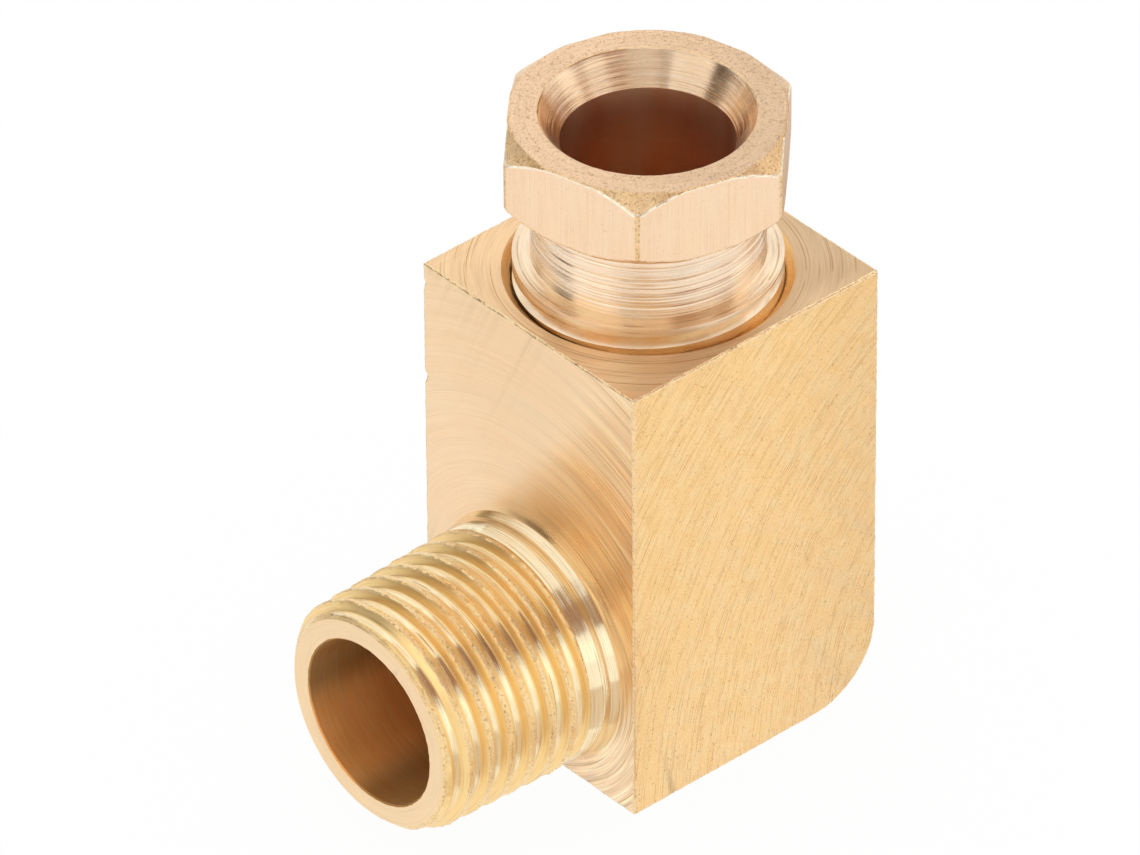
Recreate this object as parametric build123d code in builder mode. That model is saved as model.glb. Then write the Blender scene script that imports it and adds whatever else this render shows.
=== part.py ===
from build123d import *
from math import cos, pi, radians, tan
import os

# A compression elbow: a tube enters from above through the nut and the ferrule,
# and a taper thread on the side screws into a port.
# Sizes are in millimetres. Z is the axis of the tube port, the stub points along -Y
# and the base lies at z = 0.

# The tube, and the ferrule that grips it
tube_diameter = 8.0
tube_clearance = 0.05  # radial, in the ferrule and in the tube's seat
ferrule_wall = 1.25  # from the bore to the outside of the belt
ferrule_nose = 0.35  # flat ring at either end
ferrule_belt = 1.2  # straight length in the middle
belt_edge = 0.2  # rounding on either edge of the belt
cone_angle = 30.0  # half angle of every cone in the joint
cone_gap = 0.1  # radial gap between two matching cones

# The thread that draws the nut down
thread_pitch = 1.5
thread_groove_depth = 0.55
thread_groove_floor = 0.08  # flat bottom of the groove
thread_flank = 30.0  # half angle of the thread's profile
thread_gap = 0.1  # radial gap between the nut's crests and the socket's wall
cone_margin = 0.25  # how far the cones' mouths stand outside the belt
nut_skirt = 1.45  # wall of the nut at its end, from the cone's mouth to the thread
turns_open = 2.0  # how far the nut is backed off from tight

# The nut, from its end upwards
nut_thread_length = 4.513
nut_lead = 0.5  # chamfer that starts the thread
nut_shoulder = 0.14  # height of the steep step from the last crest down to the neck
nut_neck_relief = 0.9  # how far the neck lies below the crests
nut_neck_length = 4.237  # with the shoulder
nut_hex_height = 4.4
hex_sides = 6
nut_clearance = 0.45  # radial, between the tube and the nut's bore
hex_step = 0.1  # how far each flat stands outside the thread's crests
hex_bevel_circle = 0.1  # how far the bevel's circle lies outside the flats
hex_bevel_angle = 40.0
hex_corner_trim = 0.1
hex_heading = -45.7  # where one corner points, in degrees from +X
countersink_width = 1.1
countersink_angle = 32.0  # half angle

# The body's port
mouth_chamfer = 0.5
socket_depth = 7.1
tube_seat_length = 4.2
stop_ledge = 0.8  # width of the ring that stops the tube
stop_web = 0.7  # metal between that ring and the bore below
side_rim = 0.5  # flat top left beside the mouth, on either side
front_rim = 0.7
back_rim = 1.0
heel_radius = 4.2
edge_break = 0.08

# The stub with its taper thread
gauge_diameter = 13.157
gauge_length = 4.5  # from the stub's end to the gauge plane
thread_taper = 1 / 16  # on the diameter
stub_thread_length = 9.3
stub_pitch = 1.337
stub_crest = 0.28  # width of a crest
stub_groove_depth = 0.45
stub_flank = 27.5  # half angle of the thread's profile
tip_chamfer = 0.72
tip_land = 1.12  # flat ring at the stub's end
collar_length = 1.6
collar_step = 0.1  # how far the collar lies below the last crest
collar_flat = 0.72  # length of the collar's first, lower band
collar_slope = 0.3  # length of the cone up to its second band
band_step = 0.12  # how far the second band stands above the first
root_chamfer = 0.21  # between the collar and the block
base_gap = 0.15  # height of the root above the base
drill_angle = 59.0  # half angle of the drill's point
drill_overrun = 0.35  # how far the bore runs past the flow passage

cutter_reach = 0.05  # how far the cutter of a thread's groove stands out of the crests

# Radii of the joint, from the tube outwards
cone_slope = tan(radians(cone_angle))
tube_bore = tube_diameter / 2 + tube_clearance
ferrule_radius = tube_bore + ferrule_wall
nose_radius = tube_bore + ferrule_nose
cone_mouth = ferrule_radius + cone_margin
thread_radius = cone_mouth + nut_skirt
nut_thread_radius = thread_radius - thread_gap
neck_radius = nut_thread_radius - nut_neck_relief
mouth_radius = thread_radius + mouth_chamfer
nut_bore = tube_diameter / 2 + nut_clearance
passage_radius = tube_bore - stop_ledge


# Radii of the stub
def crest_radius(from_end):
    return gauge_diameter / 2 + (from_end - gauge_length) * thread_taper / 2


tip_radius = crest_radius(tip_chamfer) - tip_chamfer
stub_bore = tip_radius - tip_land
collar_radius = crest_radius(stub_thread_length) - collar_step
band_radius = collar_radius + band_step
root_radius = band_radius + root_chamfer

# The block
body_width = 2 * max(mouth_radius + side_rim, root_radius + side_rim)
body_front = mouth_radius + front_rim
body_back = mouth_radius + back_rim
stub_height = root_radius + base_gap
stub_end = -body_front - stub_thread_length - collar_length
collar_start = stub_end + stub_thread_length
band_start = collar_start + collar_flat + collar_slope

# The grooves of the two threads, from the collar and from the nut's shoulder
stub_spread = 2 * cutter_reach * tan(radians(stub_flank))
stub_groove_mouth = stub_pitch - stub_crest + stub_spread
stub_turns = round(stub_thread_length / stub_pitch)
last_groove = stub_thread_length - stub_crest - (stub_pitch - stub_crest) / 2
stub_grooves = [last_groove - turn * stub_pitch for turn in range(stub_turns)]
nut_spread = 2 * (thread_groove_depth + cutter_reach) * tan(radians(thread_flank))
nut_groove_mouth = thread_groove_floor + nut_spread
nut_turns = round(nut_thread_length / thread_pitch)

# Heights inside the body, from the bore upwards
tube_stop = stub_height + stub_bore + stop_web
seat_base = tube_stop + tube_seat_length
socket_floor = seat_base + (cone_mouth - tube_bore) / cone_slope
body_height = socket_floor + socket_depth

# The ferrule and the nut, tight first, then backed off together
ferrule_cone = (ferrule_radius - nose_radius) / cone_slope
ferrule_length = 2 * ferrule_cone + ferrule_belt
ferrule_in_nut = (cone_mouth - nose_radius - cone_gap) / cone_slope
backed_off = turns_open * thread_pitch
ferrule_base = seat_base + (nose_radius + cone_gap - tube_bore) / cone_slope + backed_off
nut_end = ferrule_base + ferrule_length - ferrule_in_nut

# Heights of the nut
thread_top = nut_end + nut_thread_length
hex_base = thread_top + nut_neck_length
nut_top = hex_base + nut_hex_height
nut_grooves = [thread_top - (turn + 0.5) * thread_pitch for turn in range(nut_turns)]
hex_flat_radius = nut_thread_radius + hex_step
hex_corner_radius = hex_flat_radius / cos(pi / hex_sides) - hex_corner_trim
bevel_radius = hex_flat_radius + hex_bevel_circle
bevel_drop = (hex_corner_radius - bevel_radius) * tan(radians(hex_bevel_angle))
countersink_radius = nut_bore + countersink_width
countersink_depth = countersink_width / tan(radians(countersink_angle))

port_axis = Axis.Z
stub_axis = Axis((0, 0, stub_height), (0, 1, 0))

with BuildPart() as elbow_body:
    # The block is cut from rectangular bar, and its heel is ground round
    with BuildSketch(Plane.YZ.offset(-body_width / 2)) as side_view:
        with Locations(((body_back - body_front) / 2, body_height / 2)):
            Rectangle(body_front + body_back, body_height)
        heel = side_view.vertices().group_by(Axis.Y)[0].sort_by(Axis.X)[-1]
        fillet(heel, heel_radius)
    extrude(amount=body_width)
    block = elbow_body.part
    sides = block.faces().sort_by(Axis.X)
    across = block.edges().filter_by(Axis.X)
    sharp = across.group_by(Axis.Z)[-1] + across.group_by(Axis.Z)[0].sort_by(Axis.Y)[:1]
    chamfer(sides[0].edges() + sides[-1].edges() + sharp, edge_break)

    # The stub: tip chamfer, tapered crests, then a collar in two bands up to the block
    with BuildSketch(Plane.YZ):
        with BuildLine():
            Polyline(
                (stub_end, stub_height),
                (stub_end, stub_height + tip_radius),
                (stub_end + tip_chamfer, stub_height + crest_radius(tip_chamfer)),
                (collar_start, stub_height + crest_radius(stub_thread_length)),
                (collar_start, stub_height + collar_radius),
                (collar_start + collar_flat, stub_height + collar_radius),
                (band_start, stub_height + band_radius),
                (0, stub_height + band_radius),
                (0, stub_height),
                close=True,
            )
        make_face()
    revolve(axis=stub_axis)
    front_face = elbow_body.faces().filter_by(Plane.XZ).sort_by(Axis.Y)[-2]
    root = front_face.edges().filter_by(GeomType.CIRCLE).sort_by(SortBy.RADIUS)[-1]
    chamfer(root, root_chamfer)

    # Its thread, one ring for each turn of the helix
    with BuildSketch(Plane.YZ):
        for along in stub_grooves:
            with Locations((stub_end + along, stub_height + crest_radius(along) + cutter_reach)):
                Trapezoid(
                    stub_groove_mouth,
                    stub_groove_depth + cutter_reach,
                    90 - stub_flank,
                    rotation=180,
                    align=(Align.CENTER, Align.MIN),
                )
    revolve(axis=stub_axis, mode=Mode.SUBTRACT)

    # The port: mouth, threaded socket, cone seat, tube seat and flow passage
    with BuildSketch(Plane.XZ):
        with BuildLine():
            Polyline(
                (0, stub_height),
                (passage_radius, stub_height),
                (passage_radius, tube_stop),
                (tube_bore, tube_stop),
                (tube_bore, seat_base),
                (cone_mouth, socket_floor),
                (thread_radius, socket_floor),
                (thread_radius, body_height - mouth_chamfer),
                (mouth_radius, body_height),
                (0, body_height),
                close=True,
            )
        make_face()
    revolve(axis=port_axis, mode=Mode.SUBTRACT)

    # The stub's bore, with the drill's point at its end
    bore_end = passage_radius + drill_overrun
    drill_tip = bore_end + stub_bore / tan(radians(drill_angle))
    with BuildSketch(Plane.YZ):
        with BuildLine():
            Polyline(
                (stub_end, stub_height),
                (stub_end, stub_height + stub_bore),
                (bore_end, stub_height + stub_bore),
                (drill_tip, stub_height),
                close=True,
            )
        make_face()
    revolve(axis=stub_axis, mode=Mode.SUBTRACT)

with BuildPart() as ferrule:
    # Two noses and a belt, the same either way up
    with BuildSketch(Plane.XZ) as ferrule_profile:
        with BuildLine():
            Polyline(
                (tube_bore, ferrule_base),
                (nose_radius, ferrule_base),
                (ferrule_radius, ferrule_base + ferrule_cone),
                (ferrule_radius, ferrule_base + ferrule_cone + ferrule_belt),
                (nose_radius, ferrule_base + ferrule_length),
                (tube_bore, ferrule_base + ferrule_length),
                close=True,
            )
        make_face()
        fillet(ferrule_profile.vertices().group_by(Axis.X)[-1], belt_edge)
    revolve(axis=port_axis)

with BuildPart() as compression_nut:
    # The hexagon, bevelled above and below, with its corners trimmed
    with BuildSketch(Plane.XY.offset(hex_base)):
        RegularPolygon(hex_flat_radius, hex_sides, major_radius=False, rotation=hex_heading)
    extrude(amount=nut_hex_height)
    with BuildSketch(Plane.XZ):
        with BuildLine():
            Polyline(
                (0, hex_base),
                (bevel_radius, hex_base),
                (hex_corner_radius, hex_base + bevel_drop),
                (hex_corner_radius, nut_top - bevel_drop),
                (bevel_radius, nut_top),
                (0, nut_top),
                close=True,
            )
        make_face()
    revolve(axis=port_axis, mode=Mode.INTERSECT)

    # The threaded end and the neck above it
    with BuildSketch(Plane.XZ):
        with BuildLine():
            Polyline(
                (0, nut_end),
                (nut_thread_radius - nut_lead, nut_end),
                (nut_thread_radius, nut_end + nut_lead),
                (nut_thread_radius, thread_top),
                (neck_radius, thread_top + nut_shoulder),
                (neck_radius, hex_base),
                (0, hex_base),
                close=True,
            )
        make_face()
    revolve(axis=port_axis)

    # Its thread, one ring for each turn of the helix
    with BuildSketch(Plane.XZ):
        with Locations(*[(nut_thread_radius + cutter_reach, height) for height in nut_grooves]):
            Trapezoid(
                nut_groove_mouth,
                thread_groove_depth + cutter_reach,
                90 - thread_flank,
                rotation=90,
                align=(Align.CENTER, Align.MIN),
            )
    revolve(axis=port_axis, mode=Mode.SUBTRACT)

    # The tube's hole: a countersink on top, and the cone that presses the ferrule
    with BuildSketch(Plane.XZ):
        with BuildLine():
            Polyline(
                (0, nut_end),
                (cone_mouth, nut_end),
                (nut_bore, nut_end + (cone_mouth - nut_bore) / cone_slope),
                (nut_bore, nut_top - countersink_depth),
                (countersink_radius, nut_top),
                (0, nut_top),
                close=True,
            )
        make_face()
    revolve(axis=port_axis, mode=Mode.SUBTRACT)

elbow_body.part.label = "elbow_body"
ferrule.part.label = "ferrule"
compression_nut.part.label = "compression_nut"

os.makedirs("parts", exist_ok=True)
export_step(elbow_body.part, "parts/elbow_body.step")
export_step(ferrule.part, "parts/ferrule.step")
export_step(compression_nut.part, "parts/compression_nut.step")

print(f"body {body_width:.2f} x {body_front + body_back:.2f} x {body_height:.2f}")
print(f"stub end at y {stub_end:.2f}, axis {stub_height:.3f}, bore {stub_bore:.3f}")
print(f"collar {collar_radius:.3f}, root {root_radius:.3f}")
print(f"tube stop {tube_stop:.3f}, seat base {seat_base:.3f}, socket floor {socket_floor:.3f}")
print(f"ferrule from {ferrule_base:.3f} to {ferrule_base + ferrule_length:.3f}")
print(f"nut end {nut_end:.3f}, thread top {thread_top:.3f}, hex {hex_base:.3f} to {nut_top:.3f}")
print(f"nut above the socket's floor when tight {nut_end - backed_off - socket_floor:.3f}")
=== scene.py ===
import math

import bmesh
import bpy
import numpy as np
from mathutils import Matrix, Vector


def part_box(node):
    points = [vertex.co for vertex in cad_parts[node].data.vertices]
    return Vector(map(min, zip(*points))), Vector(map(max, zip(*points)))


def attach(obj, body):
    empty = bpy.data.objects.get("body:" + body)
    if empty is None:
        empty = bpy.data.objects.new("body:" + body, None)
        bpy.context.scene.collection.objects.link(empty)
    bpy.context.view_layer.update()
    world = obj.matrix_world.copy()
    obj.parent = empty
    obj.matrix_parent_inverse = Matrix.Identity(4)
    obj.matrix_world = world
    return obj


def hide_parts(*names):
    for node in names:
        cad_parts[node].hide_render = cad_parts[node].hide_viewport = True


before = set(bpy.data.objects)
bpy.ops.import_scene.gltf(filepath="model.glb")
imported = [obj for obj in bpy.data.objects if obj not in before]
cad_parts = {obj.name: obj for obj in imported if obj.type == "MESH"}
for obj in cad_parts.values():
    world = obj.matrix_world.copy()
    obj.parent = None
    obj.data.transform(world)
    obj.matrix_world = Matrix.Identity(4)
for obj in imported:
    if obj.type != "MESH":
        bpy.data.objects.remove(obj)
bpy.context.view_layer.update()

mm = 0.001  # every shape below is drawn in millimetres
tiny = 0.0005 * mm  # points that are closer than this are joined
crease = math.radians(35)  # an edge that turns by more stays sharp


# Irregularity: smooth random curves that come out the same each run

def cellAndShare(place):  # the whole part, and an eased share of the way to the next
    low = np.floor(place).astype(int)
    part = place - low
    return low, part * part * (3 - 2 * part)


def wander(place, seed, count=1024):  # between -1 and 1, one random height for each whole number
    table = np.random.default_rng(seed).random(count) * 2 - 1
    low, part = cellAndShare(place)
    return table[low % count] * (1 - part) + table[(low + 1) % count] * part


def wanderField(across, along, seed, count=256):
    table = np.random.default_rng(seed).random((count, count)) * 2 - 1
    a, b = np.broadcast_arrays(np.asarray(across, float), np.asarray(along, float))
    (i, u), (j, v) = cellAndShare(a), cellAndShare(b)
    i, j, i2, j2 = i % count, j % count, (i + 1) % count, (j + 1) % count
    near = table[i, j] * (1 - v) + table[i, j2] * v
    far = table[i2, j] * (1 - v) + table[i2, j2] * v
    return near * (1 - u) + far * u


def aroundRing(angle, count, seed):  # closes on itself after a full turn
    return wander(np.mod(angle / math.tau, 1.0) * count, seed, count)


def roughRing(angle, fine, coarse, seed, share=0.8):  # the same at two scales
    return aroundRing(angle, fine, seed) + share * aroundRing(angle, coarse, seed + 1)


def raggedEdge(fine, coarse, row, seed, coarseSeed):  # burrs at two scales along an edge
    return 0.6 * wanderField(fine, row * 0.9, seed) + 0.5 * wanderField(coarse, row * 0.5, coarseSeed)


def bump(place, centre, width):
    return np.exp(-((place - centre) / width) ** 2)


def newObject(name, data):
    made = bpy.data.objects.new(name, data)
    bpy.context.scene.collection.objects.link(made)
    return made


# Mesh pieces: grids and flat faces are gathered, then joined where they meet

class Shell:
    def __init__(self):
        self.points, self.faces, self.finish, self.smooth = [], [], [], []

    def grid(self, points, finish, smooth=True):
        rows, columns = points.shape[:2]
        base = len(self.points)
        self.points.extend(points.reshape(-1, 3).tolist())
        for i in range(rows - 1):
            for j in range(columns - 1):
                a = base + i * columns + j
                self.faces.append((a, a + 1, a + columns + 1, a + columns))
                self.finish.append(finish[i] if isinstance(finish, list) else finish)
                self.smooth.append(smooth)

    def turned(self, about, line, angles, finish, smooth=True):  # a section line of radius and height
        line = np.asarray(line, float)
        self.grid(about(line[:, :1], line[:, 1:], angles[None]), finish, smooth)

    def plate(self, loop, finish):
        base = len(self.points)
        self.points.extend(np.asarray(loop, float).tolist())
        self.faces.append(tuple(range(base, base + len(loop))))
        self.finish.append(finish)
        self.smooth.append(False)

    def build(self, name, finishes):
        mesh = bpy.data.meshes.new(name)
        mesh.from_pydata([[c * mm for c in p] for p in self.points], [], self.faces)
        mesh.polygons.foreach_set("material_index", self.finish)
        mesh.polygons.foreach_set("use_smooth", self.smooth)
        work = bmesh.new()
        work.from_mesh(mesh)
        bmesh.ops.remove_doubles(work, verts=work.verts, dist=tiny)
        bmesh.ops.dissolve_degenerate(work, edges=work.edges, dist=tiny)
        bmesh.ops.recalc_face_normals(work, faces=work.faces)
        openEdges = sum(not e.is_manifold for e in work.edges)
        if work.calc_volume(signed=True) < 0:
            bmesh.ops.reverse_faces(work, faces=work.faces)
        work.to_mesh(mesh)
        work.free()
        for finish in finishes:
            mesh.materials.append(finish)
        mesh.set_sharp_from_angle(angle=crease)
        print(name, len(mesh.polygons), "faces, open edges", openEdges)
        return newObject(name, mesh)


def upright(radius, height, angle):  # turned about the tube's axis
    radius, height, angle = np.broadcast_arrays(radius, height, angle)
    return np.stack([radius * np.cos(angle), radius * np.sin(angle), height], -1)


def alongStub(radius, depth, angle):  # turned about the stub's axis, depth from its end
    radius, depth, angle = np.broadcast_arrays(radius, depth, angle)
    return np.stack([radius * np.sin(angle), stub["end"] + depth,
                     stub["height"] + radius * np.cos(angle)], -1)


def fullTurn(count, extra=()):
    angles = np.linspace(0, math.tau, count, endpoint=False)
    keep = [a for a in angles if all(abs(a - b) > 0.35 * math.tau / count for b in extra)]
    return np.array(sorted(keep + list(extra)) + [math.tau])


def awayFromSeam(angles):  # 0 where a helix closes on itself, else 1
    return np.clip(np.minimum(angles, math.tau - angles) / 0.2, 0, 1)[None]


def rounded(corners, radius, steps=3):  # a section line with its corners rounded
    corners = np.array(corners, float)
    line = [corners[0]]
    for before, corner, after in zip(corners, corners[1:], corners[2:]):
        back, forth = before - corner, after - corner
        lengths = np.linalg.norm(back), np.linalg.norm(forth)
        reach = min(radius, 0.45 * lengths[0], 0.45 * lengths[1])
        start, end = corner + back / lengths[0] * reach, corner + forth / lengths[1] * reach
        for t in (k / steps for k in range(steps + 1)):
            line.append((1 - t) ** 2 * start + 2 * t * (1 - t) * corner + t * t * end)
    line.append(corners[-1])
    return np.array(line)


def grooveShare(height, angle):  # of a turn, from the middle of the joint's groove: -0.5 to 0.5
    return np.mod((height - joint["grooveAt"]) / joint["pitch"] - angle / math.tau + 0.5, 1.0) - 0.5


def helixRows(low, high, pitch, start, shares):
    # heights at angle 0 of the rows that follow a thread, one set of shares for each turn
    first = math.floor((low - pitch - start) / pitch)
    last = math.ceil((high - start) / pitch)
    return np.array([start + pitch * (m + s) for m in range(first, last + 1) for s in shares])


# Shader helpers

class Value:  # one output of a shader node, which sums and products can be written with
    def __init__(self, socket):
        self.socket, self.tree = socket, socket.id_data

    def __add__(self, other):
        return calc("ADD", self, other)

    def __sub__(self, other):
        return calc("SUBTRACT", self, other)

    def __mul__(self, other):
        return calc("MULTIPLY", self, other)

    def __truediv__(self, other):
        return calc("DIVIDE", self, other)

    def clamped(self):
        self.socket.node.use_clamp = True
        return self


class Node:  # a new shader node, with its outputs as items
    def __init__(self, tree, kind, inputs=None, **settings):
        self.made = tree.nodes.new(kind)
        for key, value in settings.items():
            setattr(self.made, key, value)
        for key, value in (inputs or {}).items():
            feed(self.made.inputs[key], value)

    def __getitem__(self, key):
        return Value(self.made.outputs[key])


def feed(target, value):
    if isinstance(value, Value):
        value.tree.links.new(value.socket, target)
    else:
        target.default_value = value


def derived(kind, inputs, out=0, **settings):  # made in the tree that the inputs come from
    tree = next(v.tree for v in inputs.values() if isinstance(v, Value))
    return Node(tree, kind, inputs, **settings)[out]


def calc(operation, *values):
    return derived("ShaderNodeMath", dict(enumerate(values)), operation=operation)


def vector(operation, *values, out=0):
    return derived("ShaderNodeVectorMath", dict(enumerate(values)), out, operation=operation)


def dot(a, b):
    return vector("DOT_PRODUCT", a, b, out="Value")


def scaled(a, factor):
    return derived("ShaderNodeVectorMath", {0: a, "Scale": factor}, operation="SCALE")


def noise(place, detail, roughness=0.5):
    inputs = {"Vector": place, "Scale": 1.0, "Detail": detail, "Roughness": roughness}
    return derived("ShaderNodeTexNoise", inputs)


def ramp(value, low, high, start=0.0, end=1.0):
    inputs = {"Value": value, "From Min": low, "From Max": high, "To Min": start, "To Max": end}
    return derived("ShaderNodeMapRange", inputs, interpolation_type="SMOOTHSTEP")


def pair(first, second, third=0.0):
    return derived("ShaderNodeCombineXYZ", {0: first, 1: second, 2: third})


def blend(share, a, b):
    return derived("ShaderNodeMix", {0: share, 6: a, 7: b}, 2, data_type="RGBA", clamp_factor=True)


def newGroup(name, inputs, outputs, kind="Float"):
    # the inputs' first values tell their kinds: a number, a colour, or None for a vector
    kinds = {float: "Float", tuple: "Color", type(None): "Vector"}
    tree = bpy.data.node_groups.new(name, "ShaderNodeTree")
    for label, value in inputs.items():
        socket = tree.interface.new_socket(
            label, in_out="INPUT", socket_type="NodeSocket" + kinds[type(value)])
        if value is not None:
            socket.default_value = value
    for label in outputs:
        tree.interface.new_socket(label, in_out="OUTPUT", socket_type="NodeSocket" + kind)
    return tree, Node(tree, "NodeGroupInput"), tree.nodes.new("NodeGroupOutput").inputs


def makeToolMarks():
    # lines left by a tool: Across runs over them in millimetres, Around slowly along them
    tree, given, result = newGroup("toolMarks", dict(Across=0.0, Around=None, Spacing=0.15, Seed=0.0),
                                   ("Height", "Lines", "Scores", "Glints", "Streaks"))
    parts = Node(tree, "ShaderNodeSeparateXYZ", {0: given["Around"]})
    steps = given["Across"] / given["Spacing"]

    def layer(widen, slow, offset, detail):
        across = steps / widen + (given["Seed"] + offset)
        return noise(pair(across, parts[0] * slow, parts[1] * slow), detail)

    # one line in each cell, of its own strength: the cell's width in spacings, how fast the line
    # changes along its way, its place in the noise, its half width and where it is at its strongest
    def scratches(widen, slow, offset, width, high):
        place = steps / widen + (given["Seed"] + offset)
        cell = calc("FLOOR", place)
        chosen = derived("ShaderNodeTexWhiteNoise", {"W": cell}, "Value", noise_dimensions="1D")
        along = pair(cell * 5.17, parts[0] * slow, parts[1] * slow)
        away = calc("ABSOLUTE", calc("FRACT", place) - 0.5)
        line = ramp(away, 0.0, width, 1.0, 0.0) * ramp(chosen, 0.3, 1.0)
        return line * ramp(noise(along, 3.0), 0.46, high)

    fine = layer(1.0, 0.8, 0.0, 2.0)
    broad = layer(4.3, 0.5, 31.0, 1.0)
    scores = calc("MAXIMUM", scratches(1.4, 0.7, 67.0, 0.3, 0.58), scratches(2.9, 0.35, 77.0, 0.16, 0.56))
    glints = calc("MAXIMUM", scratches(1.6, 0.8, 91.0, 0.28, 0.58), scratches(3.3, 0.4, 97.0, 0.15, 0.56))
    feed(result["Height"], fine * 0.9 + broad * 1.4 - scores * 0.4 + glints * 0.3)
    feed(result["Lines"], fine * 0.7 + broad * 0.3)
    feed(result["Scores"], scores)
    feed(result["Glints"], glints)
    feed(result["Streaks"], layer(22.0, 0.9, 113.0, 3.0))
    return tree


def makePits():
    # scattered specks and small pits, and a fine grain
    tree, given, result = newGroup("pits", dict(Place=None, Size=0.1, Amount=0.1), ("Pits", "Grain"))
    near = scaled(given["Place"], calc("DIVIDE", 1.0, given["Size"]))
    level = calc("SUBTRACT", 0.8, given["Amount"] * 0.3)
    spots = calc("MAXIMUM", noise(near, 1.0), noise(scaled(near, 0.45), 2.0) - 0.03)
    feed(result["Pits"], ramp(spots, level, level + 0.06))
    feed(result["Grain"], noise(scaled(near, 1.3), 3.0, 0.6))
    return tree


def makeBrassTone():
    # one brass colour, turned paler or darker where the masks say so, with the tool's lines in it
    tree, given, result = newGroup(
        "brassTone",
        {"Colour": (0.9, 0.6, 0.3, 1), "Pale Colour": (1, 1, 1, 1), "Dark Colour": (0, 0, 0, 1),
         "Pale": 0.0, "Dark": 0.0, "Lines": 0.5, "Contrast": 0.1},
        ("Colour",), "Color")
    pale = blend(given["Pale"], given["Colour"], given["Pale Colour"])
    dark = blend(given["Dark"], pale, given["Dark Colour"])
    shade = (given["Lines"] - 0.5) * given["Contrast"]
    feed(result["Colour"], scaled(dark, shade + 1.0))
    return tree


toolMarks, pits, brassTone = makeToolMarks(), makePits(), makeBrassTone()
# each axis with the two directions across it
axes = dict(
    X=((1, 0, 0), (0, 1, 0), (0, 0, 1)),
    Y=((0, 1, 0), (1, 0, 0), (0, 0, 1)),
    Z=((0, 0, 1), (1, 0, 0), (0, 1, 0)),
)


def turnedPlace(place, s):
    # rings about an axis: how far across them, where around them, and the direction across
    axis, first, second = axes[s["axis"]]
    outward, onward = s["slant"]
    out = vector("SUBTRACT", place, s["centre"])
    flat = vector("MULTIPLY", out, tuple(1.0 - c for c in axis))
    toward = vector("NORMALIZE", flat)
    across = vector("LENGTH", flat, out="Value") * outward + dot(out, axis) * onward
    around = pair(dot(toward, first) * s["laps"], dot(toward, second) * s["laps"])
    tangent = vector("NORMALIZE", vector("ADD", scaled(toward, outward), tuple(c * onward for c in axis)))
    return across, around, tangent


def alongLines(place, direction, s):
    return pair(dot(place, direction) / s["reach"], 0.0)


def strokePlace(place, s):
    tangent = Node(place.tree, "ShaderNodeCombineXYZ", dict(enumerate(s["across"])))
    return dot(place, s["across"]), alongLines(place, s["along"], s), tangent[0]


def drawnPlace(place, s):
    # lines up the flats of the hexagon
    up = (0, 0, 1)
    facing = Node(place.tree, "ShaderNodeTexCoord")["Normal"]
    level = vector("NORMALIZE", vector("CROSS_PRODUCT", facing, up))
    tangent = derived("ShaderNodeVectorTransform", {0: level}, vector_type="VECTOR",
                      convert_from="OBJECT", convert_to="WORLD")
    return dot(place, level), alongLines(place, up, s), tangent


def brassFinish(name, s):
    material = bpy.data.materials.new(name)
    material.use_nodes = True
    tree = material.node_tree
    shader = tree.nodes["Principled BSDF"].inputs
    place = scaled(Node(tree, "ShaderNodeTexCoord")["Object"], 1 / mm)
    across, around, tangent = s["marks"](place, s)
    lines = Node(tree, "ShaderNodeGroup", {"Across": across, "Around": around, "Spacing": s["spacing"],
                                           "Seed": s["seed"]}, node_tree=toolMarks)
    specks = Node(tree, "ShaderNodeGroup", {"Place": place, "Size": s["pitSize"], "Amount": s["pitAmount"]},
                  node_tree=pits)
    direction, low, high, least = s["fade"]  # where the lines are faint, along a direction
    strength = ramp(dot(place, direction), low, high, least)
    glints, scores = lines["Glints"] * strength, lines["Scores"] * strength
    pale = ramp(lines["Streaks"], 0.35, 0.7) * s["paleShare"] + glints * s["glintShare"]
    pale = pale + ramp(specks["Grain"], 0.5, 0.25, 0.0, s["speckShare"])
    dark = (scores * s["scoreShare"] + specks["Pits"] * s["pitShare"]).clamped()
    dark = (dark + ramp(specks["Grain"], 0.5, 0.75, 0.0, s["speckShare"])).clamped()
    colour = Node(tree, "ShaderNodeGroup", {
        "Colour": (*s["colour"], 1), "Pale Colour": (*s["pale"], 1), "Dark Colour": (*s["dark"], 1),
        "Pale": pale, "Dark": dark, "Lines": lines["Lines"], "Contrast": strength * s["contrast"],
    }, node_tree=brassTone)["Colour"]
    for direction, low, high, least in s["shades"]:  # painted shade: darker to one side
        colour = scaled(colour, ramp(dot(place, direction), low, high, least))
    feed(shader["Base Color"], colour)
    grain = (specks["Grain"] - 0.5) * s["grainShare"]
    rough = (lines["Streaks"] - 0.5) * 0.25 + grain
    feed(shader["Roughness"], (rough + s["roughness"]).clamped())
    height = lines["Height"] * strength * s["lineDepth"] - specks["Pits"] * s["pitDepth"]
    height = height + specks["Grain"] * s["grainDepth"]
    relief = Node(tree, "ShaderNodeBump", {"Strength": 1.0, "Distance": 0.001 * mm, "Height": height})
    feed(shader["Normal"], relief[0])
    feed(shader["Tangent"], tangent)
    feed(shader["Metallic"], 1.0)
    feed(shader["Anisotropic"], s["anisotropy"])
    return material


def finishSet(base, changes):
    return [brassFinish(name, {**base, **own}) for name, own in changes.items()]


# Finishes, each from one of these with its own changes

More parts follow.
